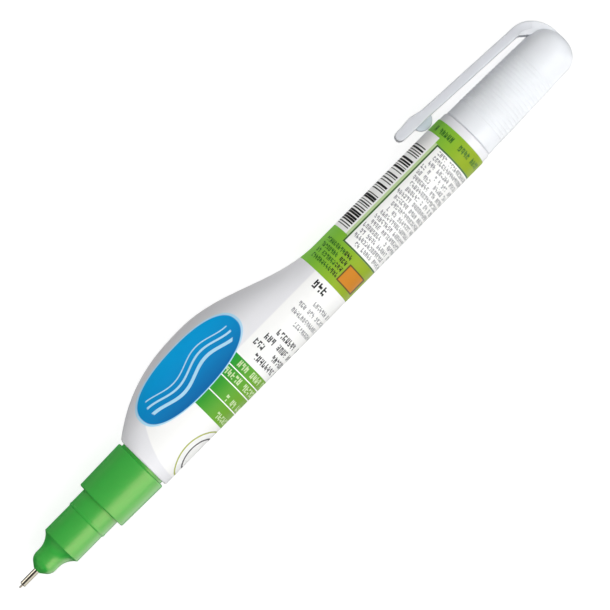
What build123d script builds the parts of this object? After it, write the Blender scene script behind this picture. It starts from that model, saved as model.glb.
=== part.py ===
from build123d import *

import math
import os

# A squeeze correction pen that lies on a table, with its cap set on the back end.
# X runs from the tip to the cap, the belly and the clip face +Y, and Z is up.
# The pieces are drawn on the pen's own axis, with the needle's point at zero, and then
# placed with the table at Z zero under the middle. All lengths are in millimetres.

# Clearances and the overrun that carries cuts past a face
seat_clearance = 0.02
slide_clearance = 0.06
rest_clearance = 0.1
overrun = 1.0

# Needle, its head and its spring
needle_radius = 0.2
needle_reach = 0.75
needle_tail = 1.2
head_radius = 0.95
head_length = 1.2
spring_radius = 0.72
spring_wire_radius = 0.12
spring_length = 4.4
spring_turns = 5

# Metal tip sleeve
sleeve_radius = 0.62
sleeve_reach = 3.85
sleeve_root = 4.8
sleeve_bore_radius = 0.42
sleeve_lip_length = 0.6
sleeve_edge = 0.15
flange_radius = 1.45
flange_length = 0.6

# Nozzle, from its nose to its collar
nose_face_radius = 0.78
nose_length = 2.4
nose_angle = 52
throat_radius = 2.55
throat_length = 0.9
flare_length = 3.25
seat_radius = 4.28
seat_length = 6.6
ridge_height = 0.06
ridge_width = 0.6
step_radius = 4.42
step_length = 3.4
collar_length = 10.8
collar_front_radius = 5.56
collar_rear_radius = 5.75
collar_edge = 0.3
lip_radius = 5.1
lip_length = 0.55
chamber_radius = 2.6
chamber_setback = 0.6

# Spring retainer
retainer_length = 2.2
retainer_boss_radius = 0.42
retainer_boss_length = 0.7
flow_hole_radius = 0.5
flow_circle_radius = 1.55
flow_hole_count = 4

# Bottle: neck, barrel, belly and spigot
neck_radius = 4.3
neck_length = 8.2
neck_wall = 1.0
bead_height = 0.3
bead_width = 0.9
bead_setback = 3.4
seal_length = 0.8
barrel_radius = 5.78
barrel_length = 87.6
barrel_edge = 0.2
barrel_wall = 0.8
belly_rise = 6.94
belly_front_length = 22.9
belly_rear_length = 29.5
belly_front_power = 2.5
belly_front_stations = 7
belly_rear_stations = 9
spigot_length = 9.0
spigot_edge = 0.6

# Label film
label_thickness = 0.12
label_bare_length = 1.75

# Fill and mixing ball
fluid_level = 3.1
ball_radius = 2.0
ball_setback = 38.0

# Cap, its ribs and its seal
cap_gap = 0.1
cap_length = 26.0
cap_mouth_radius = 5.6
cap_crown_radius = 5.05
cap_edge = 0.25
cap_bore_length = 10.5
cap_inner_radius = 4.0
crown_length = 3.8
crown_thickness = 3.0
crown_flat_radius = 0.8
rib_count = 17
rib_pitch = 0.86
rib_width = 0.5
rib_height = 0.09
rib_setback = 3.45
seal_cup_length = 0.5

# Clip
clip_thickness = 1.85
clip_width = 4.0
clip_slope = 3.2
clip_length = 30.6
clip_hinge_setback = 5.8
clip_hinge_height = 7.2
clip_edge = 0.3
clip_arch_foot = 1.7
clip_arch_sink = 0.1
knuckle_radius = 0.6
knuckle_gap = 0.18
paddle_length = 7.6
paddle_rise = 0.43
paddle_crest = 4.5
paddle_shoulder_rise = 0.12
paddle_shoulder_setback = 1.8
paddle_belly = 0.15
paddle_nose_height = 0.72
paddle_nose_setback = 0.4
fin_radius = 2.1
fin_width = 1.8
fin_setback = 24.5

# Places along the axis, from the needle's point to the crown
x_sleeve = needle_reach
x_nose = x_sleeve + sleeve_reach
x_throat = x_nose + nose_length
x_flare = x_throat + throat_length
x_seat = x_flare + flare_length
x_ridge = x_seat + seat_length
x_step = x_ridge + ridge_width
x_collar = x_step + step_length
x_lip = x_collar + collar_length
x_body = x_lip + lip_length
x_peak = x_body + belly_front_length
x_belly_end = x_peak + belly_rear_length
x_shoulder = x_body + barrel_length
x_label_end = x_shoulder - label_bare_length
x_spigot_end = x_shoulder + spigot_length
x_cap = x_shoulder + cap_gap
x_end = x_cap + cap_length
x_crown = x_end - crown_length
x_floor = x_end - crown_thickness
x_flange = x_nose + sleeve_root
x_head = x_flange + flange_length
x_spring = x_head + head_length
x_retainer = x_spring + spring_length
x_neck = x_body - neck_length
x_socket = x_neck - seal_length
x_hinge = x_end - clip_hinge_setback

# Sizes that follow from the ones above
label_inner_radius = barrel_radius + seat_clearance
label_radius = label_inner_radius + label_thickness
neck_bore_radius = neck_radius - neck_wall
cavity_radius = barrel_radius - barrel_wall
spigot_radius = step_radius
cap_bore_radius = spigot_radius + slide_clearance
belly_reach = label_radius + belly_rise
ball_drop = cavity_radius - rest_clearance - ball_radius
clip_top = clip_hinge_height + clip_thickness / 2


def line(*points):
    """Straight edges through the points."""
    return Polyline(*points)


def turned(*outline):
    """Solid turned about the pen's axis from the edges of a closed outline above it."""
    return revolve(make_face(outline), Axis.X)


def rod(x_start, x_stop, radius):
    """Round bar on the pen's axis."""
    return turned(line((x_start, 0), (x_start, radius), (x_stop, radius), (x_stop, 0), (x_start, 0)))


def needle():
    """Thin pin with a round point."""
    point = EllipticalCenterArc((needle_radius, 0), needle_radius, needle_radius, 90, arc_size=90)
    x_tail = x_spring + needle_tail
    body = line((needle_radius, needle_radius), (x_tail, needle_radius), (x_tail, 0), (0, 0))
    return turned(point, body)


def head():
    """Bush on the needle whose front face shuts the sleeve."""
    return rod(x_head, x_spring, head_radius) - rod(x_head, x_spring, needle_radius + seat_clearance)


def coil_point(turn):
    """Point and unit direction of the spring's centre line after some turns."""
    run = spring_length - 2 * (spring_wire_radius + seat_clearance)
    pitch = run / spring_turns
    angle = 2 * math.pi * turn
    x = x_spring + spring_wire_radius + seat_clearance + pitch * turn
    place = Vector(x, spring_radius * math.cos(angle), spring_radius * math.sin(angle))
    step = Vector(
        pitch / (2 * math.pi), -spring_radius * math.sin(angle), spring_radius * math.cos(angle)
    )
    return place, step.normalized()


def biarc(start, start_direction, stop, stop_direction):
    """Two arcs that leave and arrive in the given directions and meet in one direction."""
    chord = stop - start
    both = start_direction + stop_direction
    along = chord.dot(both)
    spare = 4 - both.dot(both)
    reach = (math.sqrt(along * along + spare * chord.dot(chord)) - along) / spare
    first = start + start_direction * reach
    second = stop - stop_direction * reach
    middle = (first + second) * 0.5
    return [
        TangentArc(start, middle, tangent=start_direction),
        TangentArc(middle, stop, tangent=second - first),
    ]


def spring():
    """Coil spring between the needle's head and the retainer, one tube wound in quarter turns."""
    steps = 4 * spring_turns
    stations = [coil_point(step / 4) for step in range(steps + 1)]
    arcs = []
    for (start, start_way), (stop, stop_way) in zip(stations, stations[1:]):
        arcs += biarc(start, start_way, stop, stop_way)
    first_point, first_way = stations[0]
    section = Plane(origin=first_point, z_dir=first_way) * Circle(spring_wire_radius)
    report_spring_gap()
    return sweep(section, path=Wire(arcs))


def report_spring_gap():
    """Print the least gap between the spring's neighbouring turns, measured on points."""
    samples = 24
    points = [coil_point(step / samples)[0] for step in range(samples * spring_turns + 1)]
    apart = [
        (points[a] - points[b]).length
        for a in range(len(points))
        for b in range(a + samples // 2, len(points))
    ]
    print("spring least gap", round(min(apart) - 2 * spring_wire_radius, 3))


def tip_sleeve():
    """Metal tube with a drawn-in lip round the needle and a flange inside the nozzle."""
    outside = line(
        (x_sleeve, 0),
        (x_sleeve, sleeve_radius - sleeve_edge),
        (x_sleeve + sleeve_edge, sleeve_radius),
        (x_flange, sleeve_radius),
        (x_flange, flange_radius),
        (x_head, flange_radius),
        (x_head, 0),
        (x_sleeve, 0),
    )
    lip = rod(x_sleeve - overrun, x_head, needle_radius + slide_clearance)
    bore = rod(x_sleeve + sleeve_lip_length, x_head + overrun, sleeve_bore_radius)
    return turned(outside) - lip - bore


def nozzle():
    """Green nozzle: conical nose, throat, flare, seat for the cap, snap ridge and collar."""
    flare = TangentArc((x_flare, throat_radius), (x_seat, seat_radius), tangent=(1, 0))
    ridge_top = step_radius + ridge_height
    ridge = ThreePointArc(
        (x_ridge, seat_radius), (x_ridge + ridge_width / 2, ridge_top), (x_step, step_radius)
    )
    outside = [
        line((x_nose, 0), (x_nose, nose_face_radius)),
        nose_outline(),
        line((x_throat, throat_radius), (x_flare, throat_radius)),
        flare,
        line((x_seat, seat_radius), (x_ridge, seat_radius)),
        ridge,
        line(
            (x_step, step_radius),
            (x_collar, step_radius),
            (x_collar, collar_front_radius - collar_edge),
        ),
        collar_outline(),
        line((x_lip, lip_radius), (x_body, lip_radius), (x_body, 0), (x_nose, 0)),
    ]
    return turned(*outside) - nozzle_bore()


def nose_outline():
    """Cone of the nose, and the arc that rounds it into the throat."""
    angle = math.radians(nose_angle)
    nose_rise = throat_radius - nose_face_radius
    round_radius = (nose_length * math.tan(angle) - nose_rise) / (1 / math.cos(angle) - 1)
    cone_length = nose_length - round_radius * math.sin(angle)
    shoulder = (x_nose + cone_length, nose_face_radius + cone_length * math.tan(angle))
    return [
        line((x_nose, nose_face_radius), shoulder),
        TangentArc(shoulder, (x_throat, throat_radius), tangent=(math.cos(angle), math.sin(angle))),
    ]


def collar_outline():
    """Collar with rounded corners, from its front face to the lip behind it."""
    return [
        TangentArc(
            (x_collar, collar_front_radius - collar_edge),
            (x_collar + collar_edge, collar_front_radius),
            tangent=(0, 1),
        ),
        line((x_collar + collar_edge, collar_front_radius), (x_lip - collar_edge, collar_rear_radius)),
        TangentArc(
            (x_lip - collar_edge, collar_rear_radius),
            (x_lip, collar_rear_radius - collar_edge),
            tangent=(1, 0),
        ),
        line((x_lip, collar_rear_radius - collar_edge), (x_lip, lip_radius)),
    ]


def nozzle_bore():
    """Room inside the nozzle for the sleeve, the valve, the seal and the bottle's neck."""
    x_chamber = x_seat + chamber_setback
    return (
        rod(x_nose - overrun, x_flange, sleeve_radius + seat_clearance)
        + rod(x_flange, x_chamber, flange_radius + seat_clearance)
        + rod(x_chamber, x_socket, chamber_radius)
        + rod(x_socket, x_body + overrun, neck_radius + seat_clearance)
        + neck_bead(seat_clearance)
    )


def neck_bead(clearance):
    """Snap bead round the bottle's neck, or with a clearance its groove in the nozzle."""
    x_bead = x_body - bead_setback
    reach = bead_width / 2 + clearance
    root = neck_radius + clearance
    crest = ThreePointArc(
        (x_bead - reach, root), (x_bead, root + bead_height), (x_bead + reach, root)
    )
    inner = line((x_bead + reach, root), (x_bead + reach, 0), (x_bead - reach, 0), (x_bead - reach, root))
    return turned(crest, inner)


def retainer():
    """Plug in the nozzle's chamber that carries the spring and lets the fill past."""
    x_back = x_retainer + retainer_length
    plug = rod(x_retainer, x_back, chamber_radius - seat_clearance)
    boss = rod(x_retainer - retainer_boss_length, x_retainer, retainer_boss_radius)
    hole = Pos(0, flow_circle_radius, 0) * rod(x_retainer - overrun, x_back + overrun, flow_hole_radius)
    holes = [Rot(360 * index / flow_hole_count, 0, 0) * hole for index in range(flow_hole_count)]
    return plug + boss - holes


def neck_seal():
    """Washer between the neck and the nozzle."""
    return rod(x_socket, x_neck, neck_radius) - rod(x_socket - overrun, x_neck + overrun, neck_bore_radius)


def belly_height(x):
    """How far the belly stands out beyond the round barrel: a steep front and a long soft tail."""
    if x < x_peak:
        share = (x - x_body) / belly_front_length
        return belly_rise * (1 - (1 - share) ** belly_front_power)
    share = (x - x_peak) / belly_rear_length
    return belly_rise * (1 + math.cos(math.pi * share)) / 2


def belly_section(x, radius):
    """Section across the bottle: round at the back, and half an ellipse on the belly's side."""
    reach = radius + belly_height(x)
    quarters = [
        EllipticalCenterArc((0, 0), reach, radius, -90, arc_size=90),
        EllipticalCenterArc((0, 0), reach, radius, 0, arc_size=90),
        EllipticalCenterArc((0, 0), radius, radius, 90, arc_size=90),
        EllipticalCenterArc((0, 0), radius, radius, 180, arc_size=90),
    ]
    return Plane(origin=(x, 0, 0), x_dir=(0, 1, 0), z_dir=(1, 0, 0)) * make_face(quarters)


def bellied(x_start, x_stop, radius):
    """Bellied body of some radius from one place to another behind the belly."""
    front = [
        x_start + (x_peak - x_start) * index / belly_front_stations
        for index in range(belly_front_stations)
    ]
    rear = [
        x_peak + belly_rear_length * index / belly_rear_stations
        for index in range(belly_rear_stations + 1)
    ]
    belly = loft([belly_section(x, radius) for x in front + rear])
    return belly + rod(x_belly_end, x_stop, radius)


def bottle():
    """Squeeze bottle with its neck, belly and the spigot that carries the cap."""
    x_front = x_body + barrel_edge
    rim_radius = barrel_radius - barrel_edge
    front_round = TangentArc((x_body, rim_radius), (x_front, barrel_radius), tangent=(0, 1))
    front = turned(
        front_round, line((x_front, barrel_radius), (x_front, 0), (x_body, 0), (x_body, rim_radius))
    )
    x_back = x_shoulder - barrel_edge
    back_round = TangentArc((x_back, barrel_radius), (x_shoulder, rim_radius), tangent=(1, 0))
    back = turned(
        back_round, line((x_shoulder, rim_radius), (x_shoulder, 0), (x_back, 0), (x_back, barrel_radius))
    )
    neck = rod(x_neck, x_body, neck_radius) + neck_bead(0)
    outside = neck + front + bellied(x_front, x_back, barrel_radius) + back + spigot()
    return outside - bottle_cavity()


def spigot():
    """Back end of the bottle, of the nozzle step's size, so that the cap fits either."""
    x_round = x_spigot_end - spigot_edge
    edge = TangentArc(
        (x_round, spigot_radius), (x_spigot_end, spigot_radius - spigot_edge), tangent=(1, 0)
    )
    rest = line(
        (x_spigot_end, spigot_radius - spigot_edge),
        (x_spigot_end, 0),
        (x_shoulder, 0),
        (x_shoulder, spigot_radius),
        (x_round, spigot_radius),
    )
    return turned(edge, rest)


def bottle_cavity():
    """Room inside the bottle, from the open neck to the closed spigot."""
    x_front = x_body + barrel_wall
    x_back = x_shoulder - barrel_wall
    return (
        rod(x_neck - overrun, x_front, neck_bore_radius)
        + bellied(x_front, x_back, cavity_radius)
        + rod(x_back, x_spigot_end - barrel_wall, spigot_radius - barrel_wall)
    )


def label():
    """Printed film round the bottle, from its front edge to the bare ring before the cap."""
    x_start = x_body + barrel_edge
    return bellied(x_start, x_label_end, label_radius) - bellied(x_start, x_label_end, label_inner_radius)


def ball():
    """Mixing ball on the bottom of the bottle."""
    return Pos(x_body + ball_setback, 0, -ball_drop) * Sphere(ball_radius)


def fluid():
    """Fill with a level top, as it lies, with a pocket where the ball is."""
    x_start = x_body + barrel_wall + rest_clearance
    x_stop = x_shoulder - barrel_wall - rest_clearance
    whole = bellied(x_start, x_stop, cavity_radius - rest_clearance)
    air_height = cavity_radius + overrun - fluid_level
    air = Pos((x_start + x_stop) / 2, 0, fluid_level + air_height / 2) * Box(
        x_stop - x_start + 2 * overrun, 2 * (belly_reach + overrun), air_height
    )
    pocket = Pos(x_body + ball_setback, 0, -ball_drop) * Sphere(ball_radius + 2 * rest_clearance)
    return whole - air - pocket


def cap_radius(x):
    """Outer radius of the cap's tapered wall."""
    share = (x - x_cap) / (x_crown - x_cap)
    return cap_mouth_radius + (cap_crown_radius - cap_mouth_radius) * share


def rib_outlines():
    """Outline of the cap's ribbed wall, from the first rib to the dome."""
    edges = []
    x_last = x_cap + cap_edge
    for index in range(rib_count):
        x_start = x_cap + rib_setback + rib_pitch * index
        x_crest = x_start + rib_width / 2
        x_stop = x_start + rib_width
        edges.append(line((x_last, cap_radius(x_last)), (x_start, cap_radius(x_start))))
        edges.append(
            ThreePointArc(
                (x_start, cap_radius(x_start)),
                (x_crest, cap_radius(x_crest) + rib_height),
                (x_stop, cap_radius(x_stop)),
            )
        )
        x_last = x_stop
    edges.append(line((x_last, cap_radius(x_last)), (x_crown, cap_crown_radius)))
    return edges


def cap_shell():
    """Cap with fine grip ribs, a domed crown and the foot of the clip's arch."""
    mouth = cap_radius(x_cap + cap_edge)
    dome = EllipticalCenterArc(
        (x_crown, crown_flat_radius), crown_length, cap_crown_radius - crown_flat_radius, 0, arc_size=90
    )
    shell = turned(
        line((x_cap, 0), (x_cap, mouth - cap_edge), (x_cap + cap_edge, mouth)),
        rib_outlines(),
        dome,
        line((x_end, crown_flat_radius), (x_end, 0), (x_cap, 0)),
    )
    x_step_in = x_cap + cap_bore_length
    x_narrow = x_step_in + cap_bore_radius - cap_inner_radius
    inside = turned(
        line(
            (x_cap - overrun, 0),
            (x_cap - overrun, cap_bore_radius),
            (x_step_in, cap_bore_radius),
            (x_narrow, cap_inner_radius),
            (x_floor, cap_inner_radius),
            (x_floor, 0),
            (x_cap - overrun, 0),
        )
    )
    return shell + clip_arch() - inside


def clip_arch():
    """Arch of the clip from the crown's end to the knuckle where the clip bends."""
    wall_middle = (cap_crown_radius + cap_inner_radius) / 2
    crown_middle = (x_floor + x_end) / 2
    x_arch_end = x_end - clip_arch_sink
    outer = EllipticalCenterArc(
        (x_hinge, clip_arch_foot), x_arch_end - x_hinge, clip_top - clip_arch_foot, 0, arc_size=90
    )
    rest = line(
        (x_hinge, clip_top),
        (x_hinge, clip_hinge_height - clip_thickness / 2),
        (x_crown, wall_middle),
        (crown_middle, 0),
        (x_arch_end, 0),
        (x_arch_end, clip_arch_foot),
    )
    arch = extrude(make_face([outer, rest]), clip_width / 2, both=True)
    outer_edges = arch.edges().filter_by(GeomType.ELLIPSE)
    return fillet(outer_edges, clip_edge) - knuckle(slide_clearance, clip_width + overrun)


def knuckle(clearance, width):
    """Round bar across the clip where it bends, or with a clearance its seat in the arch."""
    return Pos(x_hinge, clip_hinge_height, 0) * Cylinder(knuckle_radius + clearance, width)


def clip():
    """Pocket clip with a swollen paddle at its end and a fin that presses on the barrel."""
    half = clip_thickness / 2
    x_paddle = paddle_length - clip_length
    x_crest = paddle_crest - clip_length
    x_paddle_shoulder = paddle_shoulder_setback - clip_length
    x_nose_end = paddle_nose_setback - clip_length
    paddle = Spline(
        (x_paddle, half),
        (x_crest, half + paddle_rise),
        (x_paddle_shoulder, half + paddle_shoulder_rise),
        (x_nose_end, paddle_nose_height),
        (-clip_length, 0),
        (x_nose_end, -paddle_nose_height),
        (x_paddle_shoulder, -half - paddle_belly),
        (x_paddle, -half),
        tangents=((-1, 0), (1, 0)),
    )
    rest = line((x_paddle, -half), (-knuckle_gap, -half), (-knuckle_gap, half), (x_paddle, half))
    bar = extrude(make_face([paddle, rest]), clip_width / 2, both=True)
    rims = bar.faces().filter_by(Axis.Z).edges().filter_by(lambda edge: edge.center().X < -half)
    end = knuckle(0, clip_width - 2 * clip_edge)
    placed = Pos(x_hinge, clip_hinge_height, 0) * Rot(0, 0, -clip_slope) * fillet(rims, clip_edge)
    fin_height = label_radius + rest_clearance + fin_radius
    half_disc = Cylinder(fin_radius, fin_width) & Pos(0, -fin_radius / 2, 0) * Box(
        2 * fin_radius, fin_radius, fin_width
    )
    fin = Pos(x_hinge - fin_setback, fin_height, 0) * half_disc
    return placed + end + fin


def cap_seal():
    """Soft liner in the crown, with a pocket for the nozzle's nose and the tip."""
    nose_room = throat_radius + slide_clearance
    tip_room = sleeve_radius + slide_clearance
    x_tip_stop = x_cap + x_collar
    x_nose_stop = x_tip_stop - x_nose
    x_nose_root = x_nose_stop - nose_length
    x_cup = x_nose_root - seal_cup_length
    cone_length = (nose_room - nose_face_radius) / math.tan(math.radians(nose_angle))
    body = rod(x_cup, x_floor, cap_inner_radius - seat_clearance)
    pocket = line(
        (x_cup - overrun, 0),
        (x_cup - overrun, nose_room),
        (x_nose_stop - cone_length, nose_room),
        (x_nose_stop, nose_face_radius),
        (x_nose_stop, tip_room),
        (x_tip_stop, tip_room),
        (x_tip_stop, 0),
        (x_cup - overrun, 0),
    )
    return body - turned(pocket)


nodes = {
    "squeeze_bottle": bottle,
    "label_sleeve": label,
    "nozzle": nozzle,
    "neck_seal": neck_seal,
    "tip_sleeve": tip_sleeve,
    "valve_needle": needle,
    "needle_head": head,
    "needle_spring": spring,
    "spring_retainer": retainer,
    "mixing_ball": ball,
    "correction_fluid": fluid,
    "cap_shell": cap_shell,
    "cap_seal": cap_seal,
    "pocket_clip": clip,
}

# The table is under the barrel, and the origin is under the middle of the whole pen
place = Pos(-x_end / 2, -(belly_reach - label_radius) / 2, label_radius)

os.makedirs("parts", exist_ok=True)
for name, build in nodes.items():
    export_step(place * build(), f"parts/{name}.step")
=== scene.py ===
"""Correction pen on a pale table: finishes, label print, clip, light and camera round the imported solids."""
import math
from collections import namedtuple

import bpy
from mathutils import Matrix, Vector


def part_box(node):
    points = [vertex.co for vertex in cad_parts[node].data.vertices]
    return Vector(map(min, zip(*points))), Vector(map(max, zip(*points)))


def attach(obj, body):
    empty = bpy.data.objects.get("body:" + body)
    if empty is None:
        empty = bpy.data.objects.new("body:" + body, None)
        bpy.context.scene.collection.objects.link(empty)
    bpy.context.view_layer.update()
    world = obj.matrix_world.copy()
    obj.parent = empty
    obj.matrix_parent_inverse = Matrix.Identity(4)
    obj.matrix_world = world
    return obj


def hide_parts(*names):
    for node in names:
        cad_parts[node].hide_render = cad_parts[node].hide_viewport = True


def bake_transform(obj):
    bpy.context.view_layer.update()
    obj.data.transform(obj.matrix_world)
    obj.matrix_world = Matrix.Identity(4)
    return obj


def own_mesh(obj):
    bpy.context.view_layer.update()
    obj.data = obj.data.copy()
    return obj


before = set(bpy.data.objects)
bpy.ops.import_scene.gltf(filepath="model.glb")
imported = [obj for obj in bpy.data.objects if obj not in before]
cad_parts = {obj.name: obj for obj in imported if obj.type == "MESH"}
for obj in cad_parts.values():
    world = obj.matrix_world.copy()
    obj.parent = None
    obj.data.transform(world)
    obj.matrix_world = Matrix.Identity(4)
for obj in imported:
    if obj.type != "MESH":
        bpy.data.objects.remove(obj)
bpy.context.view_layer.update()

# Measures are in millimetres along the pen from the needle's point, and across from its axis
MM = 0.001
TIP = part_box("valve_needle")[0]
SLEEVE_LOW, SLEEVE_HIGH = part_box("tip_sleeve")
AXIS_Y = (SLEEVE_LOW.y + SLEEVE_HIGH.y) / 2
AXIS_Z = (SLEEVE_LOW.z + SLEEVE_HIGH.z) / 2
LABEL_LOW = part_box("label_sleeve")[0]
LABEL_RADIUS = (AXIS_Y - LABEL_LOW.y) / MM
PEN_END = (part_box("cap_shell")[1].x - TIP.x) / MM


def place(x, y, z=0.0):
    """Point on the pen, in metres in the shared frame."""
    return Vector((TIP.x + x * MM, AXIS_Y + y * MM, AXIS_Z + z * MM))


def ink(red, green, blue):
    """Colour from its 0 to 255 display values, by the sRGB curve."""
    channels = []
    for value in (red, green, blue):
        share = value / 255
        channels.append(share / 12.92 if share <= 0.04045 else ((share + 0.055) / 1.055) ** 2.4)
    return (*channels, 1.0)


def dimmed(colour, share):
    """Colour with a share of its light left."""
    return (*(value * share for value in colour[:3]), 1.0)


# Sockets of a mix node that take and give colours, and strides that keep chance draws apart
MIX_FIRST = 6
MIX_SECOND = 7
MIX_RESULT = 2
CHANCE_STRIDES = (127.3, 3.17)


class Field:
    """A number that varies over a surface, worked out by a material's nodes."""

    def __init__(self, tree, socket):
        self.tree = tree
        self.socket = socket

    def math(self, operation, *others):
        """Result of a math node that takes this number first."""
        node = self.tree.nodes.new("ShaderNodeMath")
        node.operation = operation
        for slot, value in zip(node.inputs, (self, *others)):
            connect(self.tree, value, slot)
        return Field(self.tree, node.outputs["Value"])

    def __add__(self, other):
        return self.math("ADD", other)

    def __sub__(self, other):
        return self.math("SUBTRACT", other)

    def __mul__(self, other):
        return self.math("MULTIPLY", other)

    def __truediv__(self, other):
        return self.math("DIVIDE", other)

    def floor(self):
        return self.math("FLOOR")

    def part(self):
        return self.math("FRACT")

    def size(self):
        return self.math("ABSOLUTE")

    def most(self, other):
        return self.math("MAXIMUM", other)

    def held(self):
        """The number kept from 0 to 1."""
        node = self.tree.nodes.new("ShaderNodeClamp")
        connect(self.tree, self, node.inputs["Value"])
        return Field(self.tree, node.outputs["Result"])

    def ramp(self, start, stop):
        """0 at the start and before it, 1 at the stop and after it, with an even change between them."""
        rate = 1 / (stop - start)
        return self.math("MULTIPLY_ADD", rate, -start * rate).held()

    def over(self, edge, soft):
        """1 where the number is over the edge and 0 under it, with a soft change."""
        return (self - edge).math("MULTIPLY_ADD", 1 / soft, 0.5).held()

    def under(self, edge, soft):
        """1 where the number is under the edge and 0 over it, with a soft change."""
        return (self - edge).math("MULTIPLY_ADD", -1 / soft, 0.5).held()

    def between(self, low, high, soft):
        """1 from the low edge to the high one, with soft changes."""
        return self.over(low, soft) * self.under(high, soft)


def connect(tree, value, slot):
    """Feed a field or a plain number or colour into a node's input."""
    if isinstance(value, Field):
        tree.links.new(value.socket, slot)
    else:
        slot.default_value = value


def mixed(tree, share, first, second):
    """Colour between two colours by a field."""
    node = tree.nodes.new("ShaderNodeMix")
    node.data_type = "RGBA"
    connect(tree, share, node.inputs["Factor"])
    connect(tree, first, node.inputs[MIX_FIRST])
    connect(tree, second, node.inputs[MIX_SECOND])
    return Field(tree, node.outputs[MIX_RESULT])


def position(tree):
    """Place on the pen as three fields in millimetres, from the needle's point and the axis."""
    coordinates = tree.nodes.new("ShaderNodeTexCoord")
    split = tree.nodes.new("ShaderNodeSeparateXYZ")
    tree.links.new(coordinates.outputs["Object"], split.inputs["Vector"])
    starts = (TIP.x, AXIS_Y, AXIS_Z)
    return [(Field(tree, out) - start) * (1 / MM) for out, start in zip(split.outputs, starts)]


def joined(tree, x, y, z):
    """Vector from three fields or numbers."""
    node = tree.nodes.new("ShaderNodeCombineXYZ")
    for slot, value in zip(node.inputs, (x, y, z)):
        connect(tree, value, slot)
    return Field(tree, node.outputs["Vector"])


def cloud(tree, vector, scale, detail=3.0):
    """Smooth noise from 0 to 1."""
    node = tree.nodes.new("ShaderNodeTexNoise")
    tree.links.new(vector.socket, node.inputs["Vector"])
    node.inputs["Scale"].default_value = scale
    node.inputs["Detail"].default_value = detail
    return Field(tree, node.outputs["Fac"])


def chance(tree, x, y, seed):
    """A steady random number for each pair of whole numbers."""
    node = tree.nodes.new("ShaderNodeTexWhiteNoise")
    node.noise_dimensions = "1D"
    connect(tree, x * CHANCE_STRIDES[0] + y * CHANCE_STRIDES[1] + seed, node.inputs["W"])
    return Field(tree, node.outputs["Value"])


def bump(tree, height, distance):
    """Normal of a surface raised by a field, at most by a distance in millimetres."""
    node = tree.nodes.new("ShaderNodeBump")
    node.inputs["Strength"].default_value = 1.0
    node.inputs["Distance"].default_value = distance * MM
    tree.links.new(height.socket, node.inputs["Height"])
    return Field(tree, node.outputs["Normal"])


def new_material(name):
    """Empty material with its tree and its shader."""
    material = bpy.data.materials.new(name)
    material.use_nodes = True
    return material, material.node_tree, material.node_tree.nodes["Principled BSDF"]


# Moulded plastic: noise scales per millimetre, and how far the noise changes colour, gloss and surface
MOTTLE_SCALE = 0.35
MOTTLE_SHARE = 0.94
GLOSS_SCALE = 1.7
GLOSS_SPAN = 0.12
GRAIN_SCALE = 6.0
GRAIN_HEIGHT = 0.004
EVEN_RADIUS = (1.0, 1.0, 1.0)


def moulded(name, colour, roughness, fade=None, **sockets):
    """Moulded plastic with faint cloudiness in colour and gloss and a fine grain.

    A fade gives the places along the pen where a second colour starts and is full, and that colour.
    """
    material, tree, shader = new_material(name)
    x, y, z = position(tree)
    spot = joined(tree, x, y, z)
    tone = mixed(tree, cloud(tree, spot, MOTTLE_SCALE), dimmed(colour, MOTTLE_SHARE), colour)
    if fade:
        start, stop, second = fade
        tone = mixed(tree, x.ramp(start, stop), tone, second)
    gloss = cloud(tree, spot, GLOSS_SCALE) * GLOSS_SPAN + (roughness - GLOSS_SPAN / 2)
    connect(tree, tone, shader.inputs["Base Color"])
    connect(tree, gloss, shader.inputs["Roughness"])
    connect(tree, bump(tree, cloud(tree, spot, GRAIN_SCALE), GRAIN_HEIGHT), shader.inputs["Normal"])
    shader.inputs["Subsurface Radius"].default_value = EVEN_RADIUS
    for socket, value in sockets.items():
        shader.inputs[socket.replace("_", " ")].default_value = value
    return material


# Turned metal: noise scales per millimetre, and how far the rings change colour, gloss and surface
RING_SCALE_ALONG = 14.0
RING_SCALE_ACROSS = 0.4
RING_SHARE = 0.8
RING_SPAN = 0.2
RING_HEIGHT = 0.003


def turned_metal(name, colour, roughness):
    """Drawn or turned metal with fine rings round the axis."""
    material, tree, shader = new_material(name)
    x, y, z = position(tree)
    spot = joined(tree, x * RING_SCALE_ALONG, y * RING_SCALE_ACROSS, z * RING_SCALE_ACROSS)
    rings = cloud(tree, spot, 1.0)
    connect(tree, mixed(tree, rings, dimmed(colour, RING_SHARE), colour), shader.inputs["Base Color"])
    connect(tree, rings * RING_SPAN + (roughness - RING_SPAN / 2), shader.inputs["Roughness"])
    connect(tree, bump(tree, rings, RING_HEIGHT), shader.inputs["Normal"])
    shader.inputs["Metallic"].default_value = 1.0
    return material


# Inks of the label
WHITE_PAPER = ink(250, 250, 248)
BARE = ink(235, 235, 238)
# Painted shade: grey that the bare film takes towards the belly's crest, where shade falls
PAINTED_CREST_SHADE = ink(200, 200, 203)
DARK_GREEN = ink(12, 160, 56)
LEAF_GREEN = ink(112, 164, 26)
MOSS_GREEN = ink(128, 200, 66)
LIME_GREEN = ink(145, 171, 20)
PALE_GREEN = ink(200, 222, 168)
OLIVE = ink(166, 176, 70)
OUTLINE_GREEN = ink(62, 104, 44)
DARK_INK = ink(50, 50, 54)
GREY_INK = ink(142, 142, 146)
GREEN_INK = ink(44, 100, 34)
BLACK_INK = ink(26, 26, 28)
ORANGE = ink(204, 128, 14)
BROWN_INK = ink(94, 76, 22)
BLUE_TOP = ink(0, 168, 232)
BLUE_LOW = ink(0, 106, 172)
PALE_BLUE = ink(176, 222, 246)

# Label, along the pen (x), across it (y) and round it from its upper side (arc)
SOFT_EDGE = 0.05

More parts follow.
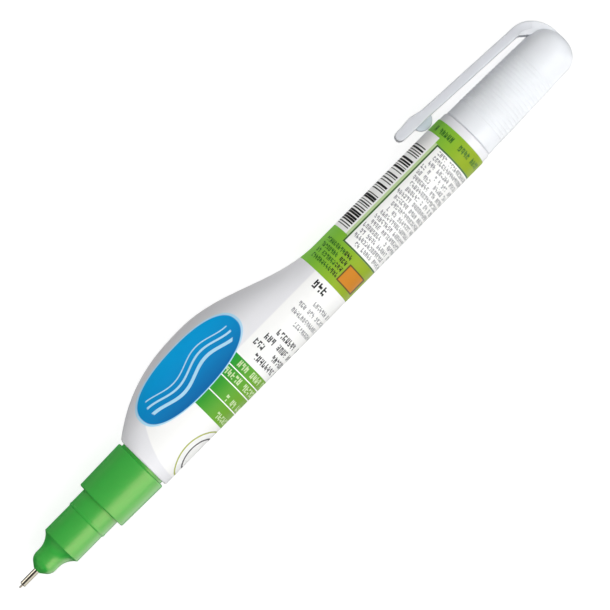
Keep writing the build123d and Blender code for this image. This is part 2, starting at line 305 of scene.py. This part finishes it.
# White paper on the film: its curved front, and its upper edge, which rises under the belly
PAPER_FRONT = 36.1
PAPER_FRONT_SLOPE = 0.36
PAPER_FRONT_CURVE = 0.03
PAPER_TOP = 2.35
PAPER_RISE = 4.2
PAPER_RISE_SPAN = (60.0, 44.0)
PAPER_SOFT = 0.3
# Painted shade: where the bare film greys towards the belly's crest
PAINTED_CREST_SHADE_SPAN = (5.0, 12.5)

# Badge of two rings
BADGE_X = 41.3
BADGE_ARC = -8.3
BADGE_REACH = (5.6, 4.4)
OLIVE_RING_SHARES = (0.96, 1.03)
DARK_RING_SHARES = (0.62, 0.7)
BADGE_SOFT_SHARE = 0.02

# First green band and its white lines
BAND_1 = (48.0, 60.2)
BAND_1_SHADE_SPAN = (2.4, -5.6)
BAND_1_LINES = (51.75, 55.3, 57.8)
LINE_HALF = 0.11

# Second and third green bands, with the framed panel and the white strip between them
BAND_2 = (81.67, 89.25)
BAND_3_START = 114.83
PANEL_SHADE_SPAN = (5.2, -2.8)
PANEL_TOP = 2.68
PANEL_OUTLINE = 0.32
STRIP = (90.7, 116.0)
STRIP_LOW = 3.2

# Upright bars on the white strip, with their sizes as shares of the spacing
BARS = (91.35, 112.9)
BARS_LOW = 3.55
BAR_PITCH = 0.58
BAR_HALF_SHARE = 0.15
BAR_GROWTH_SHARE = 0.34
BAR_SHIFT_SHARE = 0.2
BAR_GAP_SHARE = 0.08
BAR_SEED = 51.0
CHANCE_SOFT_SHARE = 0.02

# Orange square
SQUARE = (83.1, 87.1)
SQUARE_ACROSS = (-5.6, -1.54)
SQUARE_OUTLINE = 0.28

# Blue oval on the belly, and its waves as offsets and half widths
OVAL = (51.6, 6.15)
OVAL_REACH = (12.9, 4.95)
OVAL_POWER = 2.3
OVAL_TILT = math.radians(2)
OVAL_RIM_SHARE = 1.04
OVAL_SOFT_SHARE = 0.014
OVAL_SHADE_SPAN = (1.8, 10.8)
OUT_OF_REACH_SHARE = 2.0
WAVES = ((-1.5, 0.32), (0.0, 0.2), (1.2, 0.12))
WAVE_RATE = 0.42
WAVE_HEIGHT = 0.8
WAVE_END_SHARE = 0.84
WAVE_SOFT_SHARE = 0.02

# Groups of print rows: the first row's place along the pen, the rows' spacing, count and height, the arcs
# where they start and stop, how far their starts differ, and their ink
Rows = namedtuple("Rows", "first pitch count height start stop ragged ink")
PRINT = (
    Rows(47.55, 3.5, 2, 1.4, -2.0, -15.0, 2.2, PALE_GREEN),
    Rows(55.25, 2.6, 2, 1.4, 2.0, -15.0, 2.6, PALE_GREEN),
    Rows(61.15, 2.09, 4, 1.35, 1.4, -15.5, 2.8, DARK_INK),
    Rows(70.75, 1.78, 4, 1.0, 0.6, -14.0, 2.8, GREY_INK),
    Rows(78.7, 2.3, 1, 1.8, 1.0, -2.2, 0.0, BLACK_INK),
    Rows(83.0, 1.4, 4, 1.0, 6.4, -1.25, 0.6, GREEN_INK),
    Rows(89.9, 1.29, 19, 0.95, 2.2, -16.0, 0.9, GREY_INK),
    Rows(116.35, 1.8, 1, 1.25, 6.6, -14.0, 0.5, GREEN_INK),
)
BOLD_MARKS = (83.0, 88.6)
BOLD_MARKS_TOP = 0.7

# Strokes of the print, as shares of a row's height and of a cell's width, and the seeds of their draws
LETTER_SHARE = 0.6
LETTER_SPAN_SHARES = (0.1, 0.84)
LETTER_SOFT_SHARE = 0.06
STEM_SHARE = 0.28
STEM_CUT_SHARE = 0.65
CROSSBAR_SHARE = 0.17
WORD_GAP_SHARE = 0.14
START_SEED = 0.5
LEFT_SEED = 1.5
RIGHT_SEED = 2.5
CROSSBAR_SEEDS = (3.5, 4.5)
WORD_GAP_SEED = 7.5


def stepped(steps, name):
    """A value of the print rows as a field that changes from one group to the next."""
    values = [getattr(rows, name) for rows in PRINT]
    total = steps[0] * (values[1] - values[0]) + values[0]
    for step, before, after in zip(steps[1:], values[1:], values[2:]):
        total = step.math("MULTIPLY_ADD", after - before, total)
    return total


def strokes(tree, row, cell, inside, up):
    """Strokes of one cell that read as nothing: two cut stems and two crossbars at chance heights."""
    soft = LETTER_SOFT_SHARE
    low, high = LETTER_SPAN_SHARES
    left = inside.between(low, low + STEM_SHARE, soft)
    left = left * (up - chance(tree, row, cell, LEFT_SEED)).over(-STEM_CUT_SHARE, soft)
    right = inside.between(high - STEM_SHARE, high, soft)
    right = right * (up + chance(tree, row, cell, RIGHT_SEED)).under(STEM_CUT_SHARE, soft)
    marks = left.most(right) * up.size().under(0.5, soft)
    across = inside.between(low, high, soft)
    travel = 1 - CROSSBAR_SHARE
    for seed in CROSSBAR_SEEDS:
        level = chance(tree, row, cell, seed) * travel - travel / 2
        marks = marks.most((up - level).size().under(CROSSBAR_SHARE / 2, soft) * across)
    return marks


def row_ink(tree, x, arc, steps):
    """Ink of each group of rows, with black words beside the orange square."""
    shade = PRINT[0].ink
    for step, rows in zip(steps, PRINT[1:]):
        shade = mixed(tree, step, shade, rows.ink)
    bold = x.between(*BOLD_MARKS, SOFT_EDGE) * arc.under(BOLD_MARKS_TOP, SOFT_EDGE)
    return mixed(tree, bold, shade, BLACK_INK)


def print_rows(tree, x, arc, colour):
    """Rows of print round the barrel: cells of chance strokes, broken into words."""
    soft = LETTER_SOFT_SHARE
    steps = [x.math("GREATER_THAN", rows.first) for rows in PRINT[1:]]
    first = stepped(steps, "first")
    pitch = stepped(steps, "pitch")
    height = stepped(steps, "height")
    along = (x - first) / pitch
    row = along.floor() + first
    up = (along.part() - 0.5) * pitch / height
    begin = stepped(steps, "start") - chance(tree, row, 0.0, START_SEED) * stepped(steps, "ragged")
    run = (begin - arc) / (height * LETTER_SHARE)
    cell = run.floor()
    marks = strokes(tree, row, cell, run.part(), up)
    marks = marks * chance(tree, row, cell, WORD_GAP_SEED).over(WORD_GAP_SHARE, CHANCE_SOFT_SHARE)
    marks = marks * run.over(0.0, soft) * (arc - stepped(steps, "stop")).over(0.0, soft)
    marks = marks * (stepped(steps, "count") - along).over(0.0, soft) * along.over(0.0, soft)
    return mixed(tree, marks, colour, row_ink(tree, x, arc, steps))


def badge(tree, x, arc, colour):
    """Olive ring round a dark ring on the paper's front."""
    across = (x - BADGE_X) / BADGE_REACH[0]
    upward = (arc - BADGE_ARC) / BADGE_REACH[1]
    distance = (across * across + upward * upward).math("SQRT")
    colour = mixed(tree, distance.between(*OLIVE_RING_SHARES, BADGE_SOFT_SHARE), colour, OLIVE)
    return mixed(tree, distance.between(*DARK_RING_SHARES, BADGE_SOFT_SHARE), colour, DARK_INK)


def first_band(tree, x, y, paper, colour):
    """Green band with thin white lines."""
    band = x.between(*BAND_1, SOFT_EDGE) * paper
    green = mixed(tree, y.ramp(*BAND_1_SHADE_SPAN), DARK_GREEN, LEAF_GREEN)
    colour = mixed(tree, band, colour, green)
    for station in BAND_1_LINES:
        line = (x - station).size().under(LINE_HALF, SOFT_EDGE)
        colour = mixed(tree, line * band, colour, WHITE_PAPER)
    return colour


def panel(tree, x, y, colour):
    """Green bands at both ends, the framed panel between them and the white strip above it."""
    step = y.over(PANEL_TOP, SOFT_EDGE) * (STRIP[0] - BAND_2[1])
    second = x.over(BAND_2[0], SOFT_EDGE) * (x - step).under(BAND_2[1], SOFT_EDGE)
    bands = second.most(x.over(BAND_3_START, SOFT_EDGE))
    green = mixed(tree, y.ramp(*PANEL_SHADE_SPAN), MOSS_GREEN, LIME_GREEN)
    colour = mixed(tree, bands, colour, green)
    seam = x.between(STRIP[0], BAND_3_START, SOFT_EDGE) * y.between(PANEL_TOP, STRIP_LOW, SOFT_EDGE)
    colour = mixed(tree, seam, colour, PALE_GREEN)
    strip = x.between(*STRIP, SOFT_EDGE) * y.over(STRIP_LOW, SOFT_EDGE)
    colour = mixed(tree, strip, colour, WHITE_PAPER)
    outer = x.between(BAND_2[1], BAND_3_START, SOFT_EDGE) * y.under(PANEL_TOP, SOFT_EDGE)
    colour = mixed(tree, outer, colour, OUTLINE_GREEN)
    inner = x.between(BAND_2[1] + PANEL_OUTLINE, BAND_3_START - PANEL_OUTLINE, SOFT_EDGE)
    inner = inner * y.under(PANEL_TOP - PANEL_OUTLINE, SOFT_EDGE)
    return mixed(tree, inner, colour, WHITE_PAPER)


def bars(tree, x, y, colour):
    """Upright bars of chance widths, which hold no number."""
    run = (x - BARS[0]) / BAR_PITCH
    cell = run.floor()
    draw = chance(tree, cell, 0.0, BAR_SEED)
    half = draw * draw * BAR_GROWTH_SHARE + BAR_HALF_SHARE
    shift = chance(tree, cell, 1.0, BAR_SEED) * (2 * BAR_SHIFT_SHARE) - BAR_SHIFT_SHARE
    bar = (half - (run.part() - 0.5 + shift).size()).over(0.0, SOFT_EDGE / BAR_PITCH)
    bar = bar * chance(tree, cell, 2.0, BAR_SEED).over(BAR_GAP_SHARE, CHANCE_SOFT_SHARE)
    area = x.between(*BARS, SOFT_EDGE) * y.over(BARS_LOW, SOFT_EDGE)
    return mixed(tree, bar * area, colour, BLACK_INK)


def square(tree, x, y, z, colour):
    """Plain orange square with a dark outline on the middle band's upper side."""
    low, high = SQUARE
    under, over = SQUARE_ACROSS
    upper = z.over(0.0, SOFT_EDGE)
    outer = x.between(low, high, SOFT_EDGE) * y.between(under, over, SOFT_EDGE)
    inner = x.between(low + SQUARE_OUTLINE, high - SQUARE_OUTLINE, SOFT_EDGE)
    inner = inner * y.between(under + SQUARE_OUTLINE, over - SQUARE_OUTLINE, SOFT_EDGE)
    colour = mixed(tree, outer * upper, colour, BROWN_INK)
    return mixed(tree, inner * upper, colour, ORANGE)


def blue_oval(tree, x, y, z, colour):
    """Blue oval on the belly's upper side with plain pale waves."""
    ahead = x - OVAL[0]
    aside = y - OVAL[1]
    across = ahead * math.cos(OVAL_TILT) + aside * math.sin(OVAL_TILT)
    upward = ahead * -math.sin(OVAL_TILT) + aside * math.cos(OVAL_TILT)
    reach = (across.size() / OVAL_REACH[0]).math("POWER", OVAL_POWER)
    reach = reach + (upward.size() / OVAL_REACH[1]).math("POWER", OVAL_POWER)
    distance = reach.math("POWER", 1 / OVAL_POWER) + z.under(0.0, SOFT_EDGE) * OUT_OF_REACH_SHARE
    blue = mixed(tree, y.ramp(*OVAL_SHADE_SPAN), BLUE_LOW, BLUE_TOP)
    colour = mixed(tree, distance.under(OVAL_RIM_SHARE, OVAL_SOFT_SHARE), colour, PALE_BLUE)
    colour = mixed(tree, distance.under(1.0, OVAL_SOFT_SHARE), colour, blue)
    inside = distance.under(WAVE_END_SHARE, WAVE_SOFT_SHARE)
    for offset, half in WAVES:
        wave = (across * WAVE_RATE).math("SINE") * WAVE_HEIGHT + offset
        line = (upward - wave).size().under(half, SOFT_EDGE)
        colour = mixed(tree, line * inside, colour, PALE_BLUE)
    return colour


def paper_area(tree, x, y):
    """Field that is 1 on the white paper."""
    front = x - (y * y * PAPER_FRONT_CURVE + y * PAPER_FRONT_SLOPE + PAPER_FRONT)
    rise = x.ramp(*PAPER_RISE_SPAN)
    return front.over(0.0, PAPER_SOFT) * (y - rise * rise * PAPER_RISE).under(PAPER_TOP, PAPER_SOFT)


def label_print(tree, x, y, z):
    """Colour of the printed film, laid down layer by layer, with painted shade towards the belly's crest."""
    arc = y.math("ARCTAN2", z) * LABEL_RADIUS
    paper = paper_area(tree, x, y)
    # Painted shade: the bare film greys towards the belly's crest
    film = mixed(tree, y.ramp(*PAINTED_CREST_SHADE_SPAN), BARE, PAINTED_CREST_SHADE)
    colour = mixed(tree, paper, film, WHITE_PAPER)
    colour = badge(tree, x, arc, colour)
    colour = first_band(tree, x, y, paper, colour)
    colour = panel(tree, x, y, colour)
    colour = bars(tree, x, y, colour)
    colour = square(tree, x, y, z, colour)
    colour = print_rows(tree, x, arc, colour)
    return blue_oval(tree, x, y, z, colour)


# Shrink film: noise stretched along the pen, its scales per millimetre, and the film's gloss and waviness
FILM_STRETCH_SHARE = 0.3
FILM_GLOSS_SCALE = 0.9
FILM_ROUGHNESS = 0.42
FILM_WAVE_SCALE = 0.25
FILM_WAVE_DETAIL = 2.0
FILM_WAVE_HEIGHT = 0.05
FILM_SPECULAR = 0.12
FILM_SUBSURFACE = 0.06
FILM_RADIUS = (0.002, 0.002, 0.002)


def label_film():
    """Glossy shrink film with its print and the faint waviness of shrunk film."""
    material, tree, shader = new_material("label_film_print")
    x, y, z = position(tree)
    spot = joined(tree, x * FILM_STRETCH_SHARE, y, z)
    gloss = cloud(tree, spot, FILM_GLOSS_SCALE) * GLOSS_SPAN + (FILM_ROUGHNESS - GLOSS_SPAN / 2)
    waves = cloud(tree, spot, FILM_WAVE_SCALE, FILM_WAVE_DETAIL)
    connect(tree, label_print(tree, x, y, z), shader.inputs["Base Color"])
    connect(tree, gloss, shader.inputs["Roughness"])
    connect(tree, bump(tree, waves, FILM_WAVE_HEIGHT), shader.inputs["Normal"])
    shader.inputs["Specular IOR Level"].default_value = FILM_SPECULAR
    shader.inputs["Subsurface Weight"].default_value = FILM_SUBSURFACE
    shader.inputs["Subsurface Radius"].default_value = FILM_RADIUS
    return material


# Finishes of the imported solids
CAP_WHITE = ink(240, 243, 248)
MILKY = {"Subsurface_Weight": 0.6, "Subsurface_Scale": 0.0015, "IOR": 1.49}
WAXY = {"Subsurface_Weight": 0.25, "Subsurface_Scale": 0.001}
THICK = {"Subsurface_Weight": 0.3, "Subsurface_Scale": 0.001}
WARM_GLOSS = {
    "Subsurface_Weight": 0.08,
    "Subsurface_Scale": 0.0004,
    "Specular_IOR_Level": 1.0,
    "Specular_Tint": (1.0, 0.5, 0.45, 1.0),
}
materials = {
    "squeeze_bottle": moulded("bottle_white", ink(239, 239, 243), roughness=0.36, **WAXY),
    "label_sleeve": label_film(),
    "nozzle": moulded("nozzle_green", ink(40, 179, 65), roughness=0.32, **WARM_GLOSS),
    "neck_seal": moulded("seal_pale", ink(220, 218, 210), roughness=0.6),
    "cap_seal": moulded("liner_pale", ink(226, 226, 222), roughness=0.55),
    "tip_sleeve": turned_metal("tip_nickel", ink(142, 137, 124), roughness=0.2),
    "valve_needle": turned_metal("needle_drawn", ink(150, 142, 128), roughness=0.3),
    "needle_head": turned_metal("head_turned", ink(206, 170, 92), roughness=0.32),
    "needle_spring": turned_metal("spring_wire", ink(176, 176, 178), roughness=0.3),
    "spring_retainer": moulded("retainer_white", ink(218, 218, 212), roughness=0.45),
    "mixing_ball": turned_metal("ball_polished", ink(192, 192, 194), roughness=0.16),
    "correction_fluid": moulded("fluid_white", ink(248, 248, 245), roughness=0.25, **THICK),
    "cap_shell": moulded("cap_milky", CAP_WHITE, roughness=0.34, **MILKY),
}
for node, material in materials.items():
    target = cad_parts[node]
    for slot in target.material_slots:
        slot.material = material

# Clip: a bar that leaves the cap's crown in an arch and ends in a paddle, with a fin under it
HINGE = (141.0, 7.2)
BEND_LENGTH = 3.0
CLIP_LENGTH = 30.6
CLIP_SLOPE = math.radians(3.2)
CLIP_HALF = 0.925
CLIP_HALF_WIDTH = 2.0
CLIP_CORNER = 0.36
CORNER_LIMIT_SHARE = 0.98
CORNER_STEPS = 5
PROUD = 0.03
CLIP_FADE = (141.5, 145.5, CAP_WHITE)
ARCH_CENTRE = (141.0, 1.7)
ARCH_INSET = 0.1
ARCH_REACH = (PEN_END - ARCH_INSET - ARCH_CENTRE[0], HINGE[1] + CLIP_HALF - ARCH_CENTRE[1])
ARCH_START = 36
ARCH_STEPS = 18
FEATHER_STEPS = 4
CLIP_STEPS = 60
CLIP_FIRST_STEP = 8
PADDLE_LENGTH = 7.6
PADDLE_CREST = 4.5
PADDLE_RISE = 0.43
PADDLE_SHOULDER = 1.8
PADDLE_SHOULDER_RISE = 0.12
PADDLE_BELLY = 0.15
BLUNT_START_POWER = 3
BLUNT_END_POWER = 0.45
TAPER_LENGTH = 2.0
TAPER_SHARE = 0.12
FIN_PLACE = (116.5, 8.12)
FIN_RADIUS = 2.1
FIN_HALF_WIDTH = 0.9
FIN_RIM = 0.25
FIN_RIM_SHARE = 0.28
FIN_RIM_STEP = 15
FIN_SIDES = 40
Station = namedtuple("Station", "x y normal half_height half_width")


def eased(share):
    """Smooth change from 0 to 1."""
    share = min(1.0, max(0.0, share))
    return (1 - math.cos(math.pi * share)) / 2


def paddle_heights(to_end):
    """Top and bottom of the clip's bar over its middle line, at a distance from its end."""
    swell = eased((PADDLE_LENGTH - to_end) / (PADDLE_LENGTH - PADDLE_CREST))
    sink = eased((PADDLE_CREST - to_end) / (PADDLE_CREST - PADDLE_SHOULDER))
    belly = eased((PADDLE_LENGTH - to_end) / (PADDLE_LENGTH - PADDLE_SHOULDER))
    top = CLIP_HALF + PADDLE_RISE * swell - (PADDLE_RISE - PADDLE_SHOULDER_RISE) * sink
    bottom = CLIP_HALF + PADDLE_BELLY * belly
    gone = max(0.0, 1 - to_end / PADDLE_SHOULDER)
    blunt = (1 - gone ** BLUNT_START_POWER) ** BLUNT_END_POWER
    return top * blunt, -bottom * blunt


def rounded_ring(half_height, half_width):
    """Section of the clip's bar, a rounded rectangle, as (up, side) pairs."""
    corner = min(CLIP_CORNER, half_height * CORNER_LIMIT_SHARE, half_width * CORNER_LIMIT_SHARE)
    ring = []
    for quadrant, (up, side) in enumerate(((1, 1), (-1, 1), (-1, -1), (1, -1))):
        for step in range(CORNER_STEPS + 1):
            turn = math.radians(90 * quadrant + 90 * step / CORNER_STEPS)
            ring.append((
                up * (half_height - corner) + corner * math.cos(turn),
                side * (half_width - corner) + corner * math.sin(turn),
            ))
    return ring


def arch_stations():
    """Stations of the arch, from inside the crown to the hinge, that rise out of the crown bit by bit."""
    stations = []
    for step in range(ARCH_STEPS + 1):
        turn = math.radians(ARCH_START + (90 - ARCH_START) * step / ARCH_STEPS)
        outer = Vector((
            ARCH_CENTRE[0] + ARCH_REACH[0] * math.cos(turn),
            ARCH_CENTRE[1] + ARCH_REACH[1] * math.sin(turn),
        ))
        normal = Vector((math.cos(turn) / ARCH_REACH[0], math.sin(turn) / ARCH_REACH[1])).normalized()
        centre = outer - normal * CLIP_HALF
        feather = PROUD * min(1.0, step / FEATHER_STEPS - 1.0)
        stations.append(Station(centre.x, centre.y, normal, CLIP_HALF + feather, CLIP_HALF_WIDTH + feather))
    return stations


def bar_stations():
    """Stations of the straight bar, from just past the hinge to its end, closer together towards the end."""
    stations = []
    along = Vector((-math.cos(CLIP_SLOPE), math.sin(CLIP_SLOPE)))
    normal = Vector((math.sin(CLIP_SLOPE), math.cos(CLIP_SLOPE)))
    for step in range(CLIP_FIRST_STEP, CLIP_STEPS):
        length = CLIP_LENGTH * eased(step / CLIP_STEPS)
        to_end = CLIP_LENGTH - length
        top, bottom = paddle_heights(to_end)
        middle = Vector(HINGE) + along * length + normal * (top + bottom) / 2
        taper = 1 - TAPER_SHARE * max(0.0, 1 - to_end / TAPER_LENGTH)
        half_height = (top - bottom) / 2 + PROUD
        stations.append(Station(middle.x, middle.y, normal, half_height, CLIP_HALF_WIDTH * taper + PROUD))
    return stations


def strip_faces(rings, count, closed):
    """Faces between rings of points that follow each other, each ring closed or open."""
    faces = []
    for ring in range(rings - 1):
        for index in range(count if closed else count - 1):
            here = ring * count + index
            after = ring * count + (index + 1) % count
            faces.append((here, after, after + count, here + count))
    return faces


def built_mesh(name, vertices, faces):
    """Mesh of points in metres and faces."""
    mesh = bpy.data.meshes.new(name)
    mesh.from_pydata([tuple(vertex) for vertex in vertices], [], faces)
    mesh.validate()
    return mesh


def clip_mesh():
    """Mesh of the clip's bar, from inside the crown to the paddle's round end."""
    vertices = []
    stations = arch_stations() + bar_stations()
    for x, y, normal, half_height, half_width in stations:
        for up, side in rounded_ring(half_height, half_width):
            vertices.append(place(x + normal.x * up, y + normal.y * up, side))
    count = len(vertices) // len(stations)
    faces = strip_faces(len(stations), count, closed=True)
    faces.append(tuple(range(count)))
    faces.append(tuple(reversed(range(len(vertices) - count, len(vertices)))))
    return built_mesh("clip_bar", vertices, faces)


def fin_mesh():
    """Half round fin under the clip with softened rims, its flat side inside the clip."""
    profile = [(0.0, 1.0)]
    for angle in range(0, 91, FIN_RIM_STEP):
        turn = math.radians(angle)
        radius = FIN_RADIUS - FIN_RIM + FIN_RIM * math.sin(turn)
        profile.append((radius, 1 - FIN_RIM_SHARE * (1 - math.cos(turn))))
    profile += [(radius, -width) for radius, width in reversed(profile)]
    vertices = []
    for radius, width in profile:
        for side in range(FIN_SIDES + 1):
            turn = math.pi * (1 + side / FIN_SIDES)
            x = FIN_PLACE[0] + radius * math.cos(turn)
            y = FIN_PLACE[1] + radius * math.sin(turn)
            vertices.append(place(x, y, width * FIN_HALF_WIDTH))
    return built_mesh("clip_fin", vertices, strip_faces(len(profile), FIN_SIDES + 1, closed=False))


def add_piece(name, mesh, material):
    """Object of a mesh with a material and smooth faces."""
    piece = bpy.data.objects.new(name, mesh)
    bpy.context.scene.collection.objects.link(piece)
    mesh.materials.append(material)
    mesh.polygons.foreach_set("use_smooth", [True] * len(mesh.polygons))
    return piece


clip_plastic = moulded("clip_milky", ink(214, 216, 221), roughness=0.32, fade=CLIP_FADE, **MILKY)
clip_bar = add_piece("clip_bar", clip_mesh(), clip_plastic)
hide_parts("pocket_clip")
place(HINGE[0], HINGE[1])
place(HINGE[0] - BEND_LENGTH, HINGE[1])
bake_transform(clip_bar)
# Painted shade: the fin is the clip's milky plastic, tinted darker and bluer for the shade under the clip
fin_shaded_plastic = moulded("fin_milky_painted_shade", ink(207, 216, 224), roughness=0.34, **MILKY)
clip_fin = add_piece("clip_fin", fin_mesh(), fin_shaded_plastic)
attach(clip_fin, "clip")


def spring_coil():
    """The coil as a piece of its own, on the barrel."""
    coil = bpy.data.objects.new("spring_coil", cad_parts["needle_spring"].data.copy())
    bpy.context.scene.collection.objects.link(coil)
    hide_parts("needle_spring")
    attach(coil, "barrel")
    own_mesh(coil)


spring_coil()

# Table, in metres
TABLE_SIZE = 3.0
TABLE_LEVEL = -0.00002
TABLE_INKS = (ink(160, 160, 160), ink(166, 166, 166))
TABLE_CLOUD_SCALE = 0.01
TABLE_ROUGHNESS = 0.8
TABLE_GLOW = 0.77
WHITE = (1, 1, 1, 1)


def table_top():
    """Pale table top. Only the camera sees it, so lights below it can stand for its bounce."""
    bpy.ops.mesh.primitive_plane_add(size=TABLE_SIZE, location=(0, 0, TABLE_LEVEL))
    plane = bpy.context.object
    plane.name = "table_top"
    material, tree, shader = new_material("table_pale")
    shade = cloud(tree, joined(tree, *position(tree)), TABLE_CLOUD_SCALE)
    connect(tree, mixed(tree, shade, *TABLE_INKS), shader.inputs["Base Color"])
    shader.inputs["Roughness"].default_value = TABLE_ROUGHNESS
    shader.inputs["Specular IOR Level"].default_value = 0.0
    shader.inputs["Emission Color"].default_value = WHITE
    shader.inputs["Emission Strength"].default_value = TABLE_GLOW
    plane.data.materials.append(material)
    plane.visible_glossy = False
    plane.visible_diffuse = False
    plane.visible_shadow = False


# Lights: place and aim, width and depth in metres, power in watts, whether only gloss or only shading takes
# their light, and their spread in degrees
Light = namedtuple("Light", "name where aim width depth power gloss spread", defaults=(180,))
CENTRE = (0, 0, 0)
LIGHTS = (
    Light("side", (0.0, -0.51, 0.61), CENTRE, 0.7, 0.6, 2.8, gloss=False),
    Light("overhead", (0.0, 0.0, 1.1), CENTRE, 2.0, 2.0, 16.0, gloss=False),
    Light("gloss", (0.0, -0.66, 0.46), CENTRE, 1.2, 0.85, 9.0, gloss=True),
    Light("low_gloss", (0.0, -0.75, -0.4), CENTRE, 1.6, 1.0, 10.0, gloss=True),
    Light("back_gloss", (0.0, 0.75, 0.25), CENTRE, 1.4, 1.0, 1.3, gloss=True),
    Light("front_gloss", (-0.9, 0.1, 0.15), CENTRE, 1.0, 0.8, 0.9, gloss=True),
    Light("bounce", (0.0, 0.7, -0.5), CENTRE, 0.7, 0.6, 5.6, gloss=False),
    Light("low_bounce", (0.0, -0.7, -0.5), CENTRE, 0.7, 0.6, 0.1, gloss=False),
    Light("cap_card", place(137.0, -22.0, -9.0), place(136.0, 0.0), 0.016, 0.012, 0.0015, gloss=False),
    Light("end_bounce", (0.8, -0.32, -0.15), CENTRE, 0.7, 0.6, 3.8, gloss=False),
    Light("tip_card", place(2.2, 5.4, 3.1), place(2.4, 0.0), 0.005, 0.003, 0.000038, gloss=True, spread=60),
)
ROOM_LIGHT = 0.08


def area_light(light):
    """Soft rectangular light out of the camera's sight."""
    data = bpy.data.lights.new(light.name, "AREA")
    data.shape = "RECTANGLE"
    data.size = light.width
    data.size_y = light.depth
    data.energy = light.power
    data.spread = math.radians(light.spread)
    lamp = bpy.data.objects.new(light.name, data)
    bpy.context.scene.collection.objects.link(lamp)
    lamp.location = light.where
    lamp.rotation_euler = (Vector(light.aim) - Vector(light.where)).to_track_quat("-Z", "Y").to_euler()
    lamp.visible_camera = False
    lamp.visible_glossy = light.gloss
    lamp.visible_diffuse = not light.gloss


def surroundings():
    """White room light."""
    world = bpy.data.worlds.new("studio")
    bpy.context.scene.world = world
    world.use_nodes = True
    background = world.node_tree.nodes["Background"]
    background.inputs["Color"].default_value = WHITE
    background.inputs["Strength"].default_value = ROOM_LIGHT


# Camera: the place on the pen that it is over and the one that it aims at, its height and far end in metres
CAMERA_OVER = (36.0, -0.83)
CAMERA_AIM = (75.9, -0.83)
CAMERA_HEIGHT = 0.7
CAMERA_FAR_END = 10.0
CAMERA_ROLL = math.radians(45.41)
SENSOR_WIDTH = 36.0
LENS_LENGTH = 218.05


def camera():
    """Camera over the nozzle's side, with the pen running from the lower left to the upper right."""
    target = place(*CAMERA_AIM)
    eye = place(*CAMERA_OVER) + Vector((0, 0, CAMERA_HEIGHT))
    data = bpy.data.cameras.new("camera")
    data.sensor_width = SENSOR_WIDTH
    data.lens = LENS_LENGTH
    data.clip_end = CAMERA_FAR_END
    view = bpy.data.objects.new("camera", data)
    bpy.context.scene.collection.objects.link(view)
    back = (eye - target).normalized()
    upward = Vector((math.sin(CAMERA_ROLL), math.cos(CAMERA_ROLL), 0.0))
    right = upward.cross(back).normalized()
    upward = back.cross(right)
    view.matrix_world = Matrix.Translation(eye) @ Matrix((right, upward, back)).transposed().to_4x4()
    bpy.context.scene.camera = view


table_top()
surroundings()
for light in LIGHTS:
    area_light(light)
camera()
bpy.context.scene.view_settings.view_transform = "Standard"
